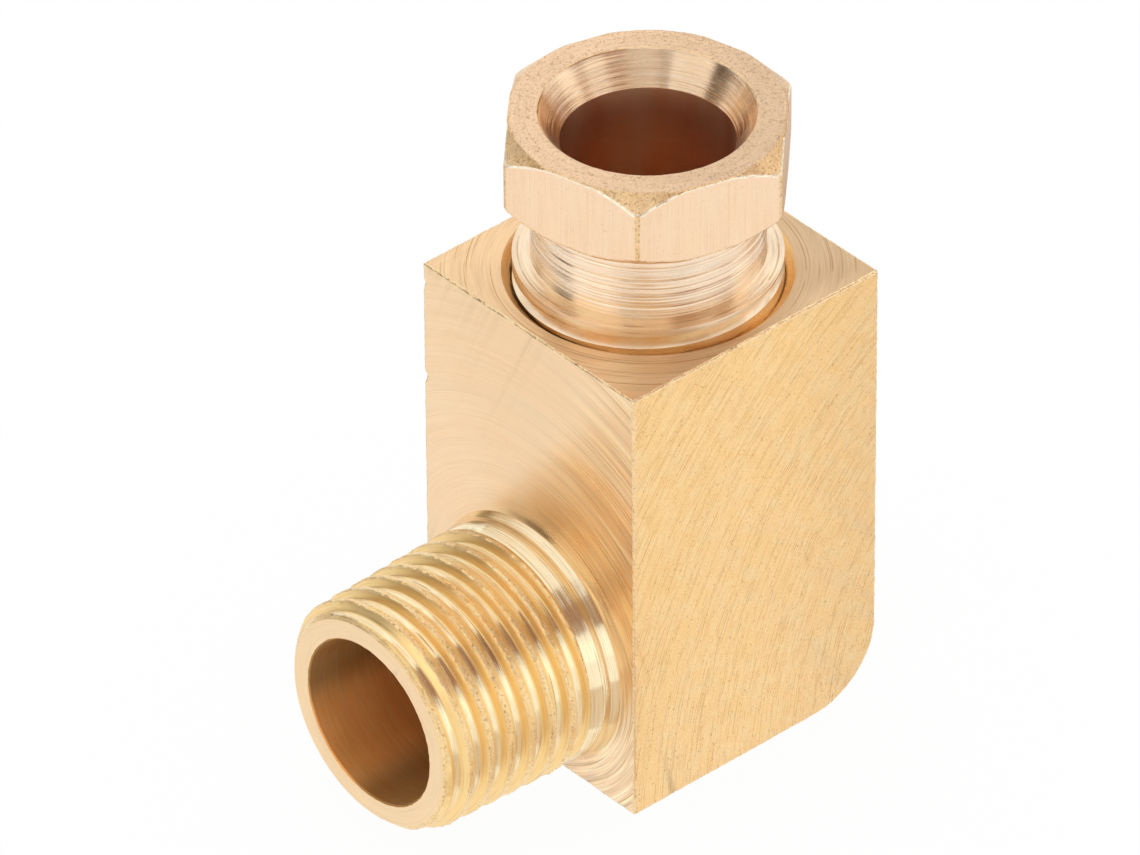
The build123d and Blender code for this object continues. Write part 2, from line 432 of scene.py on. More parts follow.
bodyBrass = dict(
    colour=(0.94, 0.66, 0.35), pale=(0.97, 0.76, 0.48), dark=(0.5, 0.3, 0.13),
    # how much the streaks, scores, glints, pits and specks turn the colour pale or dark
    paleShare=0.35, scoreShare=0.45, glintShare=0.7, pitShare=0.6, speckShare=0.1, contrast=0.45,
    roughness=0.32, grainShare=0.1, anisotropy=0.6,
    # sizes in millimetres, depths in thousandths of a millimetre
    spacing=0.12, lineDepth=5.0, pitSize=0.07, pitAmount=0.15, pitDepth=6.0, grainDepth=2.0,
    # along a direction, from and to: the least share of the lines, and of the colour as painted shade
    fade=((0, 0, 1), -2, -1, 1.0), shades=(), seed=0.0,
)
nutBrass = dict(bodyBrass, colour=(0.95, 0.68, 0.45), pale=(0.97, 0.78, 0.6), dark=(0.55, 0.33, 0.16))
# turned surfaces: slant is how far the lines are spread outward and along the axis
stubSide = dict(marks=turnedPlace, axis="Y", centre=(0, 0, 7.108), slant=(0, 1), laps=3)
portSide = dict(stubSide, axis="Z", centre=(0, 0, 0))
stubEnd, portEnd = dict(stubSide, slant=(1, 0)), dict(portSide, slant=(1, 0))

bodyFinishes = finishSet(bodyBrass, dict(
    sawnBrass=dict(
        marks=turnedPlace, axis="X", centre=(0, 25, -2), slant=(1, 0), laps=36, colour=(1.0, 0.655, 0.3),
        pale=(1.0, 0.79, 0.45), dark=(0.6, 0.33, 0.1), anisotropy=0.35, spacing=0.062, lineDepth=8.0,
        scoreShare=0.9, glintShare=0.8, pitAmount=0.6, contrast=0.25, speckShare=0.05,
        # painted shade: the sawn side darker towards the back
        shades=(((0, -1, 0), -8, 0, 0.93),), seed=3),
    facedBrass=dict(
        stubEnd, colour=(0.95, 0.665, 0.4), pale=(1.0, 0.88, 0.62), dark=(0.5, 0.28, 0.11), roughness=0.3,
        anisotropy=0.75, spacing=0.1, lineDepth=25.0, contrast=1.7, paleShare=0.2, scoreShare=1.0,
        # the lines' relief and colour fade towards the left; the pale and dark lines on the right are tool
        # marks partly painted as highlight where light catches the rings
        glintShare=1.0, fade=((0.94, 0, -0.34), -7, 1, 0.12), seed=8),
    portFaceBrass=dict(
        portEnd, colour=(0.98, 0.68, 0.4), dark=(0.55, 0.3, 0.1), roughness=0.4, anisotropy=0.88,
        lineDepth=6.0, contrast=0.5, paleShare=0.2, glintShare=0.5, scoreShare=0.9,
        # painted shade: the top face darker towards its back right corner
        shades=(((-0.9, -0.5, 0), -9, 3, 0.78),), seed=13),
    plainBrass=dict(
        marks=strokePlace, across=(0.3, 0.95, 0.1), along=(0.1, -0.05, 1.0), reach=4, roughness=0.38,
        lineDepth=3.0, seed=17),
    edgeBrass=dict(
        marks=strokePlace, across=(0.5, 0.5, 0.7), along=(0.7, -0.7, 0), reach=0.5, roughness=0.26,
        anisotropy=0.0, grainDepth=16.0, speckShare=0.6, pitSize=0.1, pitAmount=0.4,
        colour=(0.96, 0.7, 0.4), seed=19),
    threadRootBrass=dict(
        stubSide, colour=(0.99, 0.8, 0.49), pale=(1.0, 0.9, 0.66), dark=(0.5, 0.28, 0.1), scoreShare=1.0,
        glintShare=1.0, contrast=0.8, roughness=0.2, anisotropy=0.9, lineDepth=16.0, seed=23),
    collarBrass=dict(
        stubSide, colour=(0.99, 0.82, 0.53), pale=(1.0, 0.9, 0.68), dark=(0.6, 0.36, 0.16), contrast=0.5,
        scoreShare=0.9, spacing=0.07, roughness=0.13, anisotropy=0.8, lineDepth=8.0, seed=29),
    stubTipBrass=dict(
        stubEnd, colour=(0.95, 0.7, 0.43), roughness=0.4, anisotropy=0.2, lineDepth=3.0, grainDepth=8.0,
        scoreShare=0.2, glintShare=0.2, contrast=0.2, seed=31),
    drilledBrass=dict(
        stubSide, colour=(1.0, 0.55, 0.18), pale=(1.0, 0.7, 0.34), dark=(0.85, 0.4, 0.13), scoreShare=0.3,
        glintShare=0.9, pitShare=0.2, roughness=0.8, anisotropy=0.0, lineDepth=3.0, contrast=0.25,
        # painted shade: the bore's wall darker to either side of its lower left, towards its top and bottom
        shades=(((-0.71, 0, -0.71), -1.8, -0.5, 0.6),), seed=37),
    socketBrass=dict(
        portSide, slant=(0.7, 0.7), laps=4, roughness=0.3, anisotropy=0.7, seed=41),
    threadCrestBrass=dict(
        stubSide, laps=8, speckShare=0.7, colour=(1.0, 0.7, 0.33), pale=(1.0, 0.84, 0.55),
        dark=(0.6, 0.35, 0.14), roughness=0.36, anisotropy=0.3, lineDepth=4.0, grainDepth=24.0,
        pitSize=0.13, pitAmount=0.5, pitDepth=16.0, seed=43),
    threadFlankBrass=dict(
        stubEnd, colour=(1.0, 0.71, 0.32), pale=(1.0, 0.8, 0.44), scoreShare=0.3, glintShare=0.3,
        contrast=0.3, roughness=0.36, anisotropy=0.6, lineDepth=1.0, grainDepth=0.5, pitShare=0.2,
        pitDepth=1.0, grainShare=0.03, seed=47),
))
(sawn, faced, portFace, plain, edged, threadRoot, collarBand, stubTip, drilled, socketWall,
 threadCrest, threadFlank) = range(12)

nutFinishes = finishSet(nutBrass, dict(
    nutTopBrass=dict(
        portEnd, laps=4, colour=(0.92, 0.64, 0.41), pale=(0.95, 0.7, 0.48), roughness=0.38, anisotropy=0.1,
        # painted shade: the nut's top darker towards its back right
        scoreShare=0.1, glintShare=0.1, contrast=0.4, shades=(((-0.8, -0.6, 0), -6, 4, 0.86),),
        lineDepth=3.0, grainDepth=46.0, pitSize=0.14, pitAmount=0.6, pitDepth=12.0, pitShare=0.5,
        grainShare=0.4, speckShare=0.6, seed=53),
    nutFlatBrass=dict(
        marks=drawnPlace, reach=3.0, spacing=0.08, colour=(1.0, 0.71, 0.475), pale=(1.0, 0.8, 0.58),
        dark=(0.8, 0.5, 0.3), roughness=0.34, anisotropy=0.4, contrast=0.25, scoreShare=0.4, glintShare=0.6,
        lineDepth=3.0, grainDepth=10.0, speckShare=0.25, pitAmount=0.45, seed=59),
    nutBevelBrass=dict(
        portSide, slant=(0.7, 0.7), laps=4, colour=(0.93, 0.62, 0.31), pale=(0.97, 0.74, 0.48),
        roughness=0.3, anisotropy=0.3, lineDepth=2.0, grainDepth=26.0, pitSize=0.13, pitAmount=0.6,
        pitDepth=16.0, speckShare=0.8, seed=61),
    nutNeckBrass=dict(
        portSide, spacing=0.08, colour=(1.0, 0.775, 0.56), pale=(1.0, 0.87, 0.71), dark=(0.5, 0.28, 0.14),
        paleShare=0.3, scoreShare=0.35, glintShare=0.9, contrast=0.35, roughness=0.24, anisotropy=0.95,
        lineDepth=6.0, seed=67),
    nutThreadBrass=dict(
        portSide, slant=(0.6, 0.8), spacing=0.08, colour=(1.0, 0.78, 0.54), pale=(1.0, 0.87, 0.69),
        contrast=0.6, scoreShare=0.8, roughness=0.22, anisotropy=0.93, lineDepth=8.0, seed=71),
    nutSinkBrass=dict(
        portSide, slant=(0.53, 0.85), laps=4, colour=(0.95, 0.7, 0.47), spacing=0.09, roughness=0.22,
        anisotropy=0.93, lineDepth=6.0, seed=73),
    nutBoreBrass=dict(
        portSide, colour=(1.0, 0.57, 0.35), dark=(0.9, 0.46, 0.25), spacing=0.3, roughness=0.4,
        scoreShare=0.1, glintShare=0.2, contrast=0.1, anisotropy=0.3, lineDepth=1.5,
        # painted shade: the bore darker near its top, under the countersink
        shades=(((0, 0, -1), -34.5, -30, 0.6),), seed=79),
    nutRimBrass=dict(
        portSide, laps=30, colour=(1.0, 0.86, 0.66), pale=(1.0, 0.93, 0.8), roughness=0.3, anisotropy=0.1,
        grainDepth=12.0, speckShare=0.5, pitSize=0.16, pitAmount=0.3, seed=89),
))
nutTop, nutFlat, nutBevel, nutNeck, nutThread, nutSink, nutBore, nutRim = range(8)
ferruleFinishes = finishSet(bodyBrass, dict(
    ferruleBrass=dict(portSide, slant=(0.5, 0.87), laps=4, seed=83)))
print("finishes made", len(bpy.data.materials))

# The block

bodyHigh = np.array(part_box("elbow_body")[1]) / mm
block = dict(
    side=bodyHigh[0], front=-8.2, back=bodyHigh[1], top=bodyHigh[2],
    heel=4.2,
    lip=0.018,  # how far a burr may stand above the faces
    edge=0.12,  # width of the broken edge
    step=0.1,  # spacing of the points along an edge
    burr=0.03, slide=0.03,  # how far the edge stands out, and how far its borders stray
    worn=0.25,  # the more, the more of the edge lies inside the faces
    nickReach=(0.0, 0.8, 1.0, 1.0, 1.0),
    nicks=((25.1, 0.16, 0.16), (19.3, 0.2, 0.2), (19.0, 0.1, 0.12)),  # height, depth, width on the left edge
    seed=11,
)
stub = dict(
    end=-19.1, height=7.108, bore=4.62, tip=5.7407, chamfer=0.72,
    boreEnd=3.6, boreRim=0.08, drillPoint=math.tan(math.radians(59)),
    gauge=13.157 / 2, gaugeLength=4.5, taper=1 / 32,
    pitch=1.337, crestAt=5.18 - 1.337 * 44.5 / 360, crest=0.28, depth=0.45,
    flank=math.tan(math.radians(27.5)),
    rootRound=0.06, hollow=0.035,
    burr=0.05, burrSlide=0.05,  # beads on the crests' edges: how high, and how far they lean
    crestDip=0.014, crestFade=0.08,  # the crests' unevenness, and how far down the flank it ends
    runOut=0.2, tipFade=0.15, tipRough=0.03,
    whiteFrom=0.44, whiteTo=0.66,  # the polished part of the root, as shares of the pitch
    collar=6.53, collarFrom=9.3,
    bands=((6.76, 10.02), (6.76, 10.44), (6.95, 10.9), (6.95, 11.3)),  # the collar's radius and depth
    columns=400, seed=23,
)
port = dict(
    mouth=7.5, wall=7.0, ridge=6.45, ridgeTip=0.06,
    over=0.4,  # how far the cutter stands above the block
    threadFrom=0.35, threadFade=0.4,  # where the thread starts above the floor, and its run-in
    floor=19.226, coneMouth=5.55, seat=4.05, seatBase=16.628, stop=12.428, passage=3.25,
    columns=240,
)
joint = dict(
    pitch=1.5, grooveAt=26.64 - 1.5 * (-41.45) / 360, groove=0.355, flank=math.tan(math.radians(30)),
)


def blockOutline():
    # the side view, from the front of the base round by the heel, the back and the top
    s = block
    front, back = s["front"] + s["lip"], s["back"] - s["lip"]
    low, top, edge = 0.0, s["top"] - s["lip"], s["edge"]
    points, normals, runs = [], [], []

    def straight(a, b, normal, run):
        count = max(2, int(round(math.dist(a, b) / s["step"])))
        for k in range(count):
            t = k / count
            points.append((a[0] + (b[0] - a[0]) * t, a[1] + (b[1] - a[1]) * t))
            normals.append(normal)
            runs.append(run)

    def arc(centre, radius, start, count, run):
        for k in range(count):
            turn = math.radians(start + 90 * k / count)
            points.append((centre[0] + radius * math.cos(turn), centre[1] + radius * math.sin(turn)))
            normals.append((math.cos(turn), math.sin(turn)))
            runs.append(run)

    straight((front + edge, low), (back - s["heel"], low), (0, -1), "base")
    arc((back - s["heel"], low + s["heel"]), s["heel"], -90, 60, "heel")
    straight((back, low + s["heel"]), (back, top - edge), (1, 0), "back")
    arc((back - edge, top - edge), edge, 0, 4, "backTop")
    straight((back - edge, top), (front + edge, top), (0, 1), "top")
    arc((front + edge, top - edge), edge, 90, 4, "frontTop")
    straight((front, top - edge), (front, low + edge), (-1, 0), "front")
    arc((front + edge, low + edge), edge, 180, 4, "frontBase")
    return np.array(points), np.array(normals), runs


def blockShell():
    s = block
    shell = Shell()
    points, normals, runs = blockOutline()
    count = len(points)
    length = np.concatenate([[0], np.cumsum(np.linalg.norm(np.diff(points, axis=0), axis=1))])
    side = s["side"] - s["lip"]
    rows = 5
    rims = {}

    def kept(strip):  # no burr stands past the faces of the CAD
        return np.clip(strip, (-s["side"], s["front"], 0), (s["side"], s["back"], s["top"]))

    def along(run):  # the places of a run of the outline, and the one after it
        own = [i for i, r in enumerate(runs) if r == run]
        return own + [(own[-1] + 1) % count]

    for hand in (1, -1):
        strip = np.zeros((rows, count, 3))
        for k in range(rows):
            turn = math.radians(90 * k / (rows - 1))
            outward = math.sin(turn)
            rough = raggedEdge(length * 7, length * 2.2, k, s["seed"] + hand, s["seed"] + 3 + hand)
            push = s["burr"] * (rough - s["worn"]) * (0 < k < rows - 1)
            slide = s["slide"] * wander(length * 4 + 50 * k, s["seed"] + 7 + hand) - 0.01
            reach = -s["edge"] * (1 - outward) + push * outward + (slide if k == 0 else 0)
            strip[k, :, 0] = hand * (side - s["edge"] * (1 - math.cos(turn)) + push * math.cos(turn)
                                     - (slide + 0.02 if k == rows - 1 else 0))
            strip[k, :, 1:] = points + normals * reach[:, None]
        if hand == -1:
            onFront = np.array([r == "front" for r in runs])
            for height, deep, wide in s["nicks"]:
                dent = deep * bump(points[:, 1], height, wide) * onFront
                reach = np.array(s["nickReach"])[:, None]  # over the strip's rows
                strip[:, :, 0] += dent * reach
                strip[:, :, 1] += 0.7 * dent * reach[::-1]
        strip = kept(strip)
        shell.grid(np.concatenate([strip, strip[:, :1]], 1), edged)
        shell.plate(strip[0], sawn if hand > 0 else plain)
        rims[hand] = strip[-1]
    # strips along the three cross edges
    crossRows = {}
    across = int(round(2 * side / s["step"]))
    for name in ("backTop", "frontTop", "frontBase"):
        strip = np.zeros((rows, across + 1, 3))
        share = np.linspace(0, 1, across + 1)
        fade = np.minimum(1, np.minimum(share, 1 - share) * across / 6)
        for k, i in enumerate(along(name)):
            a, b = rims[-1][i], rims[1][i]
            line = a[None] * (1 - share[:, None]) + b[None] * share[:, None]
            if 0 < k < rows - 1:
                seed = s["seed"] + len(name)
                rough = raggedEdge(share * 110, share * 38, k, seed + 20, seed + 31)
                line[:, 1:] += normals[i] * (fade * s["burr"] * (rough - s["worn"]))[:, None]
            strip[k] = line
        crossRows[name] = kept(strip)
        shell.grid(crossRows[name], edged)
    # the flat faces and the heel between the strips
    def faceBetween(run, before, after, finish):
        left, right = rims[-1][along(run)], rims[1][along(run)]
        first = before if before is not None else np.stack([left[0], right[0]])
        last = after if after is not None else np.stack([left[-1], right[-1]])
        loop = list(first) + list(right[1:-1]) + list(last[::-1]) + list(left[1:-1][::-1])
        shell.plate(loop, finish)

    faceBetween("base", crossRows["frontBase"][-1], None, plain)
    faceBetween("back", None, crossRows["backTop"][0], plain)
    faceBetween("top", crossRows["backTop"][-1], crossRows["frontTop"][0], portFace)
    faceBetween("front", crossRows["frontTop"][-1], crossRows["frontBase"][0], faced)
    shell.grid(np.stack([rims[-1][along("heel")], rims[1][along("heel")]], 1), plain)
    return shell


def crestRadius(depth):
    return stub["gauge"] + (depth - stub["gaugeLength"]) * stub["taper"]


def threadFoot():  # where the flank meets the root, as a share of the pitch
    return (stub["crest"] / 2 + stub["depth"] * stub["flank"]) / stub["pitch"]


def grooveDepth(share):  # share of a pitch from the middle of a crest
    s = stub
    along = np.mod(share, 1.0) * s["pitch"]
    gap = np.minimum(along, s["pitch"] - along) - s["crest"] / 2
    slope = np.clip(gap, 0, None) / s["flank"]
    near = np.clip(1 - np.abs(slope - s["depth"]) / s["rootRound"], 0, None)
    middle = 1 - (np.mod(share, 1.0) - 0.5) ** 2 / (0.5 - threadFoot()) ** 2
    hollow = s["hollow"] * np.clip(middle, 0, None)
    return np.minimum(slope, s["depth"]) - near ** 2 * s["rootRound"] / 4 + hollow


def stubShell():
    s = stub
    shell = Shell()
    angles = fullTurn(s["columns"])
    half = s["crest"] / 2 / s["pitch"]
    foot = threadFoot()
    soft = s["rootRound"] * s["flank"] / s["pitch"]
    shares = [0, half * 0.55, half, foot - soft, foot, foot + soft, 0.38, s["whiteFrom"], 0.5, 0.58,
              s["whiteTo"], 1 - foot - soft, 1 - foot, 1 - foot + soft, 1 - half - (foot - half) * 0.5,
              1 - half - (foot - half) * 0.15, 1 - half, 1 - half * 0.55]
    kinds = [threadCrest] * 2 + [threadFlank] * 5 + [threadRoot] * 3 + [threadFlank] * 5 + [threadCrest] * 3
    rows = helixRows(0, s["collarFrom"], s["pitch"], s["crestAt"], shares)
    finish = [kinds[i % len(kinds)] for i in range(len(rows))]
    a = angles[None]
    depth = rows[:, None] + s["pitch"] * a / math.tau
    jitter = 0.5 * roughRing(angles, 140, 47, s["seed"], 1)[None]
    order = np.arange(len(rows))[:, None]
    seam = awayFromSeam(angles)
    beads = wanderField(a * 26 + order // len(shares) * 31.7, 0.0, s["seed"] + 2) * seam
    # the crest's edge that faces the stub's end carries the burr
    lip = 1.0 * (order % len(shares) == shares.index(1 - half))
    depth = np.clip(depth + lip * s["burrSlide"] * beads, 0, s["collarFrom"])
    share = (depth - s["crestAt"]) / s["pitch"] - a / math.tau
    cut = grooveDepth(share)
    onCrest = np.clip(1 - cut / s["crestFade"], 0, 1)
    rough = wanderField(depth * 5 + jitter, a * 24, s["seed"] + 3) * seam
    runOut = np.clip((s["collarFrom"] - depth) / s["runOut"], 0, 1)
    radius = crestRadius(depth) - cut - onCrest * (s["crestDip"] * (1 + rough) - lip * s["burr"] * beads)
    radius = radius * runOut + s["collar"] * (1 - runOut)
    tipCone = s["tip"] + depth * (crestRadius(s["chamfer"]) - s["tip"]) / s["chamfer"]
    tipRough = roughRing(angles, 110, 40, s["seed"] + 4, 2 / 3)
    onTip = radius > tipCone
    tipCone = tipCone + s["tipRough"] * tipRough[None] * np.clip(depth / s["tipFade"], 0, 1)
    radius = np.minimum(radius, tipCone)
    shell.grid(alongStub(radius, depth, a), finish)
    for place in np.flatnonzero(onTip[:-1, :-1] & onTip[1:, :-1] & onTip[:-1, 1:]):
        shell.finish[place] = threadCrest  # the chamfer is as rough as the crests
    line = rounded([(s["collar"], s["collarFrom"]), *s["bands"]], 0.05)
    shell.turned(alongStub, line, angles, collarBand)
    for (outer, place), lid in ((s["bands"][-1], collarBand), ((s["tip"], 0.0), stubTip)):
        shell.turned(alongStub, [(outer, place), (0, place)], angles, lid, False)
    return shell


def portShell():
    s = port
    shell = Shell()
    angles = fullTurn(s["columns"])
    top = block["top"]
    high = top + s["over"]
    pitch = joint["pitch"]
    low = s["floor"] + s["threadFrom"]
    shares = np.linspace(0, 1, 14, endpoint=False)
    rows = helixRows(low, high, pitch, joint["grooveAt"], shares)
    height = np.clip(rows[:, None] + pitch * angles[None] / math.tau, low, high)
    away = np.clip(np.abs(grooveShare(height, angles[None])) * pitch - s["ridgeTip"], 0, None)
    ridge = np.clip(s["wall"] - s["ridge"] - away / joint["flank"], 0, None)
    ridge = ridge * np.clip((height - low) / s["threadFade"], 0, 1)
    mouth = s["mouth"] - block["lip"] + (height - top)
    radius = np.maximum(s["wall"] - ridge, mouth)
    shell.grid(upright(radius, height, angles[None]), socketWall)
    line = rounded([(s["wall"], low), (s["wall"], s["floor"]), (s["coneMouth"], s["floor"]),
                    (s["seat"], s["seatBase"]), (s["seat"], s["stop"]), (s["passage"], s["stop"]),
                    (s["passage"], stub["height"])], 0.06)
    shell.turned(upright, line, angles, socketWall)
    lid = s["mouth"] - block["lip"] + (high - top)
    for outer, level in ((s["passage"], stub["height"]), (lid, high)):
        shell.turned(upright, [(outer, level), (0, level)], angles, socketWall)
    return shell


def boreShell():
    s = stub
    shell = Shell()
    angles = fullTurn(200)
    length = s["boreEnd"] - s["end"]
    point = length + s["bore"] / s["drillPoint"]
    rim = s["bore"] + s["boreRim"]
    line = np.array([(0, -0.3), (rim, -0.3), (rim, 0.0), (s["bore"], 0.07), (s["bore"], 2.0),
                     (s["bore"], 8.0), (s["bore"], 16.0), (s["bore"], length), (0, point)])
    radius = np.repeat(line[:, :1], len(angles), 1)
    radius[2] += 0.02 * aroundRing(angles, 130, 5)
    radius[3] += 0.015 * aroundRing(angles, 130, 6)
    shell.grid(alongStub(radius, line[:, 1:], angles[None]), drilled)
    return shell


def carve(piece, tool, operation):
    work = piece.modifiers.new("cut", "BOOLEAN")
    work.operation = operation
    work.object = tool
    work.solver = "MANIFOLD"
    work.material_mode = "INDEX"
    view = bpy.context.evaluated_depsgraph_get()
    mesh = bpy.data.meshes.new_from_object(piece.evaluated_get(view))
    piece.modifiers.clear()
    old = piece.data
    piece.data = mesh
    bpy.data.meshes.remove(old)
    bpy.data.objects.remove(tool)


body = blockShell().build("brassBody", bodyFinishes)
carve(body, stubShell().build("stubTool", bodyFinishes), "UNION")
carve(body, portShell().build("portTool", bodyFinishes), "DIFFERENCE")
carve(body, boreShell().build("boreTool", bodyFinishes), "DIFFERENCE")
body.data.set_sharp_from_angle(angle=crease)
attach(body, "elbow")
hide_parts("elbow_body")
print("body", len(body.data.polygons), "faces")

# The nut

nut = dict(
    end=22.907, lead=0.5, shoulder=27.42, neckFoot=27.56, neck=6.0, neckTop=6.15, crest=6.9,
    threadDepth=0.55, hexBase=31.657, top=36.057,
    flat=7.0, corner=7.983, bevel=7.1, bevelSlope=math.tan(math.radians(40)),
    heading=math.radians(-45.7), sink=5.55, sinkDepth=1.76, bore=4.45,
    coneMouth=5.55, coneSlope=math.tan(math.radians(30)),
    # the neck's deeper rings: height, depth, width
    rings=((29.77, 0.06, 0.05), (30.33, 0.03, 0.04), (30.52, 0.035, 0.04), (31.2, 0.02, 0.05),
           (29.28, 0.03, 0.03), (29.12, 0.03, 0.03), (28.95, 0.03, 0.03), (28.78, 0.03, 0.03),
           (28.62, 0.03, 0.03), (28.1, 0.03, 0.05)),
    ringNoise=0.006, sinkRings=0.012, shoulderRings=0.016,
    burr=0.035, burrWidth=0.02, burrDrop=0.04,  # beads on the thread's upper edges
    roll=0.035,  # how far the upper rim of a flat stands out
    strip=0.03, columns=384, seed=41,
)


def nutAngles():
    s = nut
    half = math.acos(s["flat"] / s["corner"])
    trim = math.pi / 6 - half
    extra = [s["heading"] + k * math.pi / 3 + trim * share
             for k in range(6) for share in (-1.25, -0.75, 0, 0.75, 1.25)]
    return fullTurn(s["columns"], sorted(np.mod(extra, math.tau)))


def hexRadius(angle):
    s = nut
    part = np.mod(angle - s["heading"], math.pi / 3) - math.pi / 6
    return np.minimum(s["flat"] / np.cos(part), s["corner"])


def nutThreadRadius(height, angle):
    s = nut
    away = np.abs(grooveShare(height, angle)) * joint["pitch"]
    cut = np.clip((joint["groove"] - away) / joint["flank"], 0, s["threadDepth"])
    lead = s["crest"] - s["lead"] + (height - s["end"])
    fall = (s["crest"] - s["neck"]) / (s["neckFoot"] - s["shoulder"])
    shoulder = s["crest"] - (height - s["shoulder"]) * fall
    return np.minimum(np.minimum(s["crest"] - cut, lead), np.clip(shoulder, s["neck"], None))


def nutThreadRows():
    s = nut
    low, high = s["end"], s["shoulder"]
    half = joint["groove"] / joint["pitch"]
    floor = half - s["threadDepth"] * joint["flank"] / joint["pitch"]
    shares = [-half - 0.03, -half, -half + 0.03, -0.5 * (half + floor), -floor, 0.0, floor,
              0.5 * (half + floor), half - 0.03, half, half + 0.03, 0.36, 0.43, 0.5, 0.57, 0.64]
    return helixRows(low, high, joint["pitch"], joint["grooveAt"], sorted(np.mod(shares, 1.0))), low, high


def nutShell():
    s = nut
    shell = Shell()
    angles = nutAngles()
    a = angles[None]
    rows, low, high = nutThreadRows()
    seam = awayFromSeam(angles)
    height = rows[:, None] + joint["pitch"] * a / math.tau
    radius = nutThreadRadius(np.clip(height, low, high), a)
    share = np.mod(grooveShare(height, a), 1.0)
    lip = bump(share, joint["groove"] / joint["pitch"], s["burrWidth"])
    beads = wanderField(a * 30, np.round(rows[:, None] * 40) * 0.01, s["seed"]) * seam
    inside = np.clip((s["shoulder"] - height) / 0.1, 0, 1) * np.clip((height - low) / 0.3, 0, 1)
    height = np.clip(height - s["burrDrop"] * lip * np.abs(beads) * inside, low, high)
    radius = np.minimum(radius + s["burr"] * lip * beads * inside * 0.3, s["crest"])
    shell.grid(upright(radius, height, a), nutThread)
    # the step down to the neck, with its own rings
    down = np.array([0, 0.02, 0.05, 0.1, 0.16, 0.22, 0.29, 0.36, 0.43, 0.5, 0.57, 0.64, 0.71, 0.78, 0.85,
                     0.92, 0.97, 1])
    rings = s["shoulderRings"] * (wander(down * 9, s["seed"] + 10) - 0.5) * (down > 0) * (down < 1)
    outside = nutThreadRadius(s["shoulder"], a)
    radius = outside + (s["neck"] - outside) * down[:, None]
    height = s["shoulder"] + (s["neckFoot"] - s["shoulder"]) * down + rings
    shell.grid(upright(radius, height[:, None], a), nutThread)
    # the neck with its rings, and the underside of the hexagon
    base, top = s["hexBase"], s["top"]
    levels = np.append(np.arange(s["neckFoot"], base - 0.08, 0.045), [base - 0.05, base])
    ripple = wander(levels / 0.07, s["seed"] + 1) + wander(levels / 0.16, s["seed"] + 2) - 1
    neck = s["neck"] + s["ringNoise"] * ripple
    for place, deep, wide in s["rings"]:
        neck = neck - deep * bump(levels, place, wide)
    neck[0], neck[-1] = s["neck"], s["neckTop"]
    shell.grid(upright(neck[:, None], levels[:, None], a), nutNeck)
    outer = hexRadius(angles)
    bevel = np.minimum(outer, s["bevel"])
    drop = (outer - bevel) * s["bevelSlope"]
    edge = roughRing(angles, 190, 61, s["seed"] + 5)
    edge2 = roughRing(angles, 180, 71, s["seed"] + 7)
    roll = s["roll"] * np.clip(0.6 + edge2, 0, 1) * (outer < s["bevel"])
    loop = [(s["neckTop"], base),
            (bevel - 0.12, base),
            (bevel - 0.03, base + 0.02 + 0.015 * edge),
            (outer - 0.03, base + 0.05 + drop + 0.03 * edge),
            (outer - 0.005, base + 0.12 + drop + 0.02 * edge2),
            (outer, base + 0.24 + drop),
            (outer, base + 0.3 + drop),
            (outer, top - 0.36 - drop),
            (outer, top - 0.3 - drop),
            (outer - 0.01 + roll, top - 0.16 - drop + 0.012 * edge2),
            (outer - 0.04 + roll, top - 0.07 - drop + 0.02 * edge2),
            (outer - 0.1, top - 0.05 - drop * 0.95 + 0.02 * edge),
            (bevel + 0.02, top - 0.06 - drop * 0.08),
            (bevel - 0.05, top - 0.02 + 0.012 * edge2),
            (bevel - 0.12, top),
            (bevel - 0.16, top),
            (s["sink"] + 0.1, top),
            (s["sink"] + 0.05, top)]
    grid = np.stack([upright(r, h, angles) for r, h in loop])
    first = len(shell.finish)
    shell.grid(grid, [nutTop] + [nutBevel] * 3 + [nutFlat] * 5 + [nutRim] * 2 + [nutBevel] * 2
               + [nutTop] * 4)
    middle = 0.5 * (angles[1:] + angles[:-1])
    trimmed = np.mod(middle - s["heading"] + 0.5 * s["strip"], math.pi / 3) < s["strip"]
    for k in range(4, 10):
        for j in np.flatnonzero(trimmed):
            shell.finish[first + k * len(middle) + j] = nutBevel
    # countersink with its rings, bore, and the cone that presses the ferrule
    down = np.linspace(0.03, s["sinkDepth"], 46)
    slope = (s["sink"] - s["bore"]) / s["sinkDepth"]
    sink = s["sink"] - down * slope - s["sinkRings"] * (0.5 + 0.5 * wander(down / 0.075, s["seed"] + 3))
    sink[0], sink[-1] = s["sink"], s["bore"]
    line = np.concatenate([[[s["sink"] + 0.05, top]], np.stack([sink, top - down], -1)])
    radius = np.repeat(line[:, :1], len(angles), 1)
    radius[1] += 0.02 * aroundRing(angles, 90, s["seed"] + 9)
    shell.grid(upright(radius, line[:, 1:], a), [nutBevel] + [nutSink] * (len(line) - 2))
    boreTop = top - s["sinkDepth"]
    coneTop = s["end"] + (s["coneMouth"] - s["bore"]) / s["coneSlope"]
    line = rounded([(s["bore"], boreTop), (s["bore"], boreTop - 2.0), (s["bore"], boreTop - 5.0),
                    (s["bore"], coneTop), (s["coneMouth"], s["end"])], 0.05)
    shell.turned(upright, line, angles, nutBore)
    ring = np.stack([np.full_like(angles, s["coneMouth"]), nutThreadRadius(s["end"], angles)])
    shell.grid(upright(ring, s["end"], a), nutNeck)
    return shell


nutPiece = nutShell().build("brassNut", nutFinishes)
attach(nutPiece, "nut")
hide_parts("compression_nut")

# The ferrule

ferrule = dict(
    base=20.408, bore=4.05, nose=4.4, belt=5.3, cone=(5.3 - 4.4) / math.tan(math.radians(30)), straight=1.2,
)


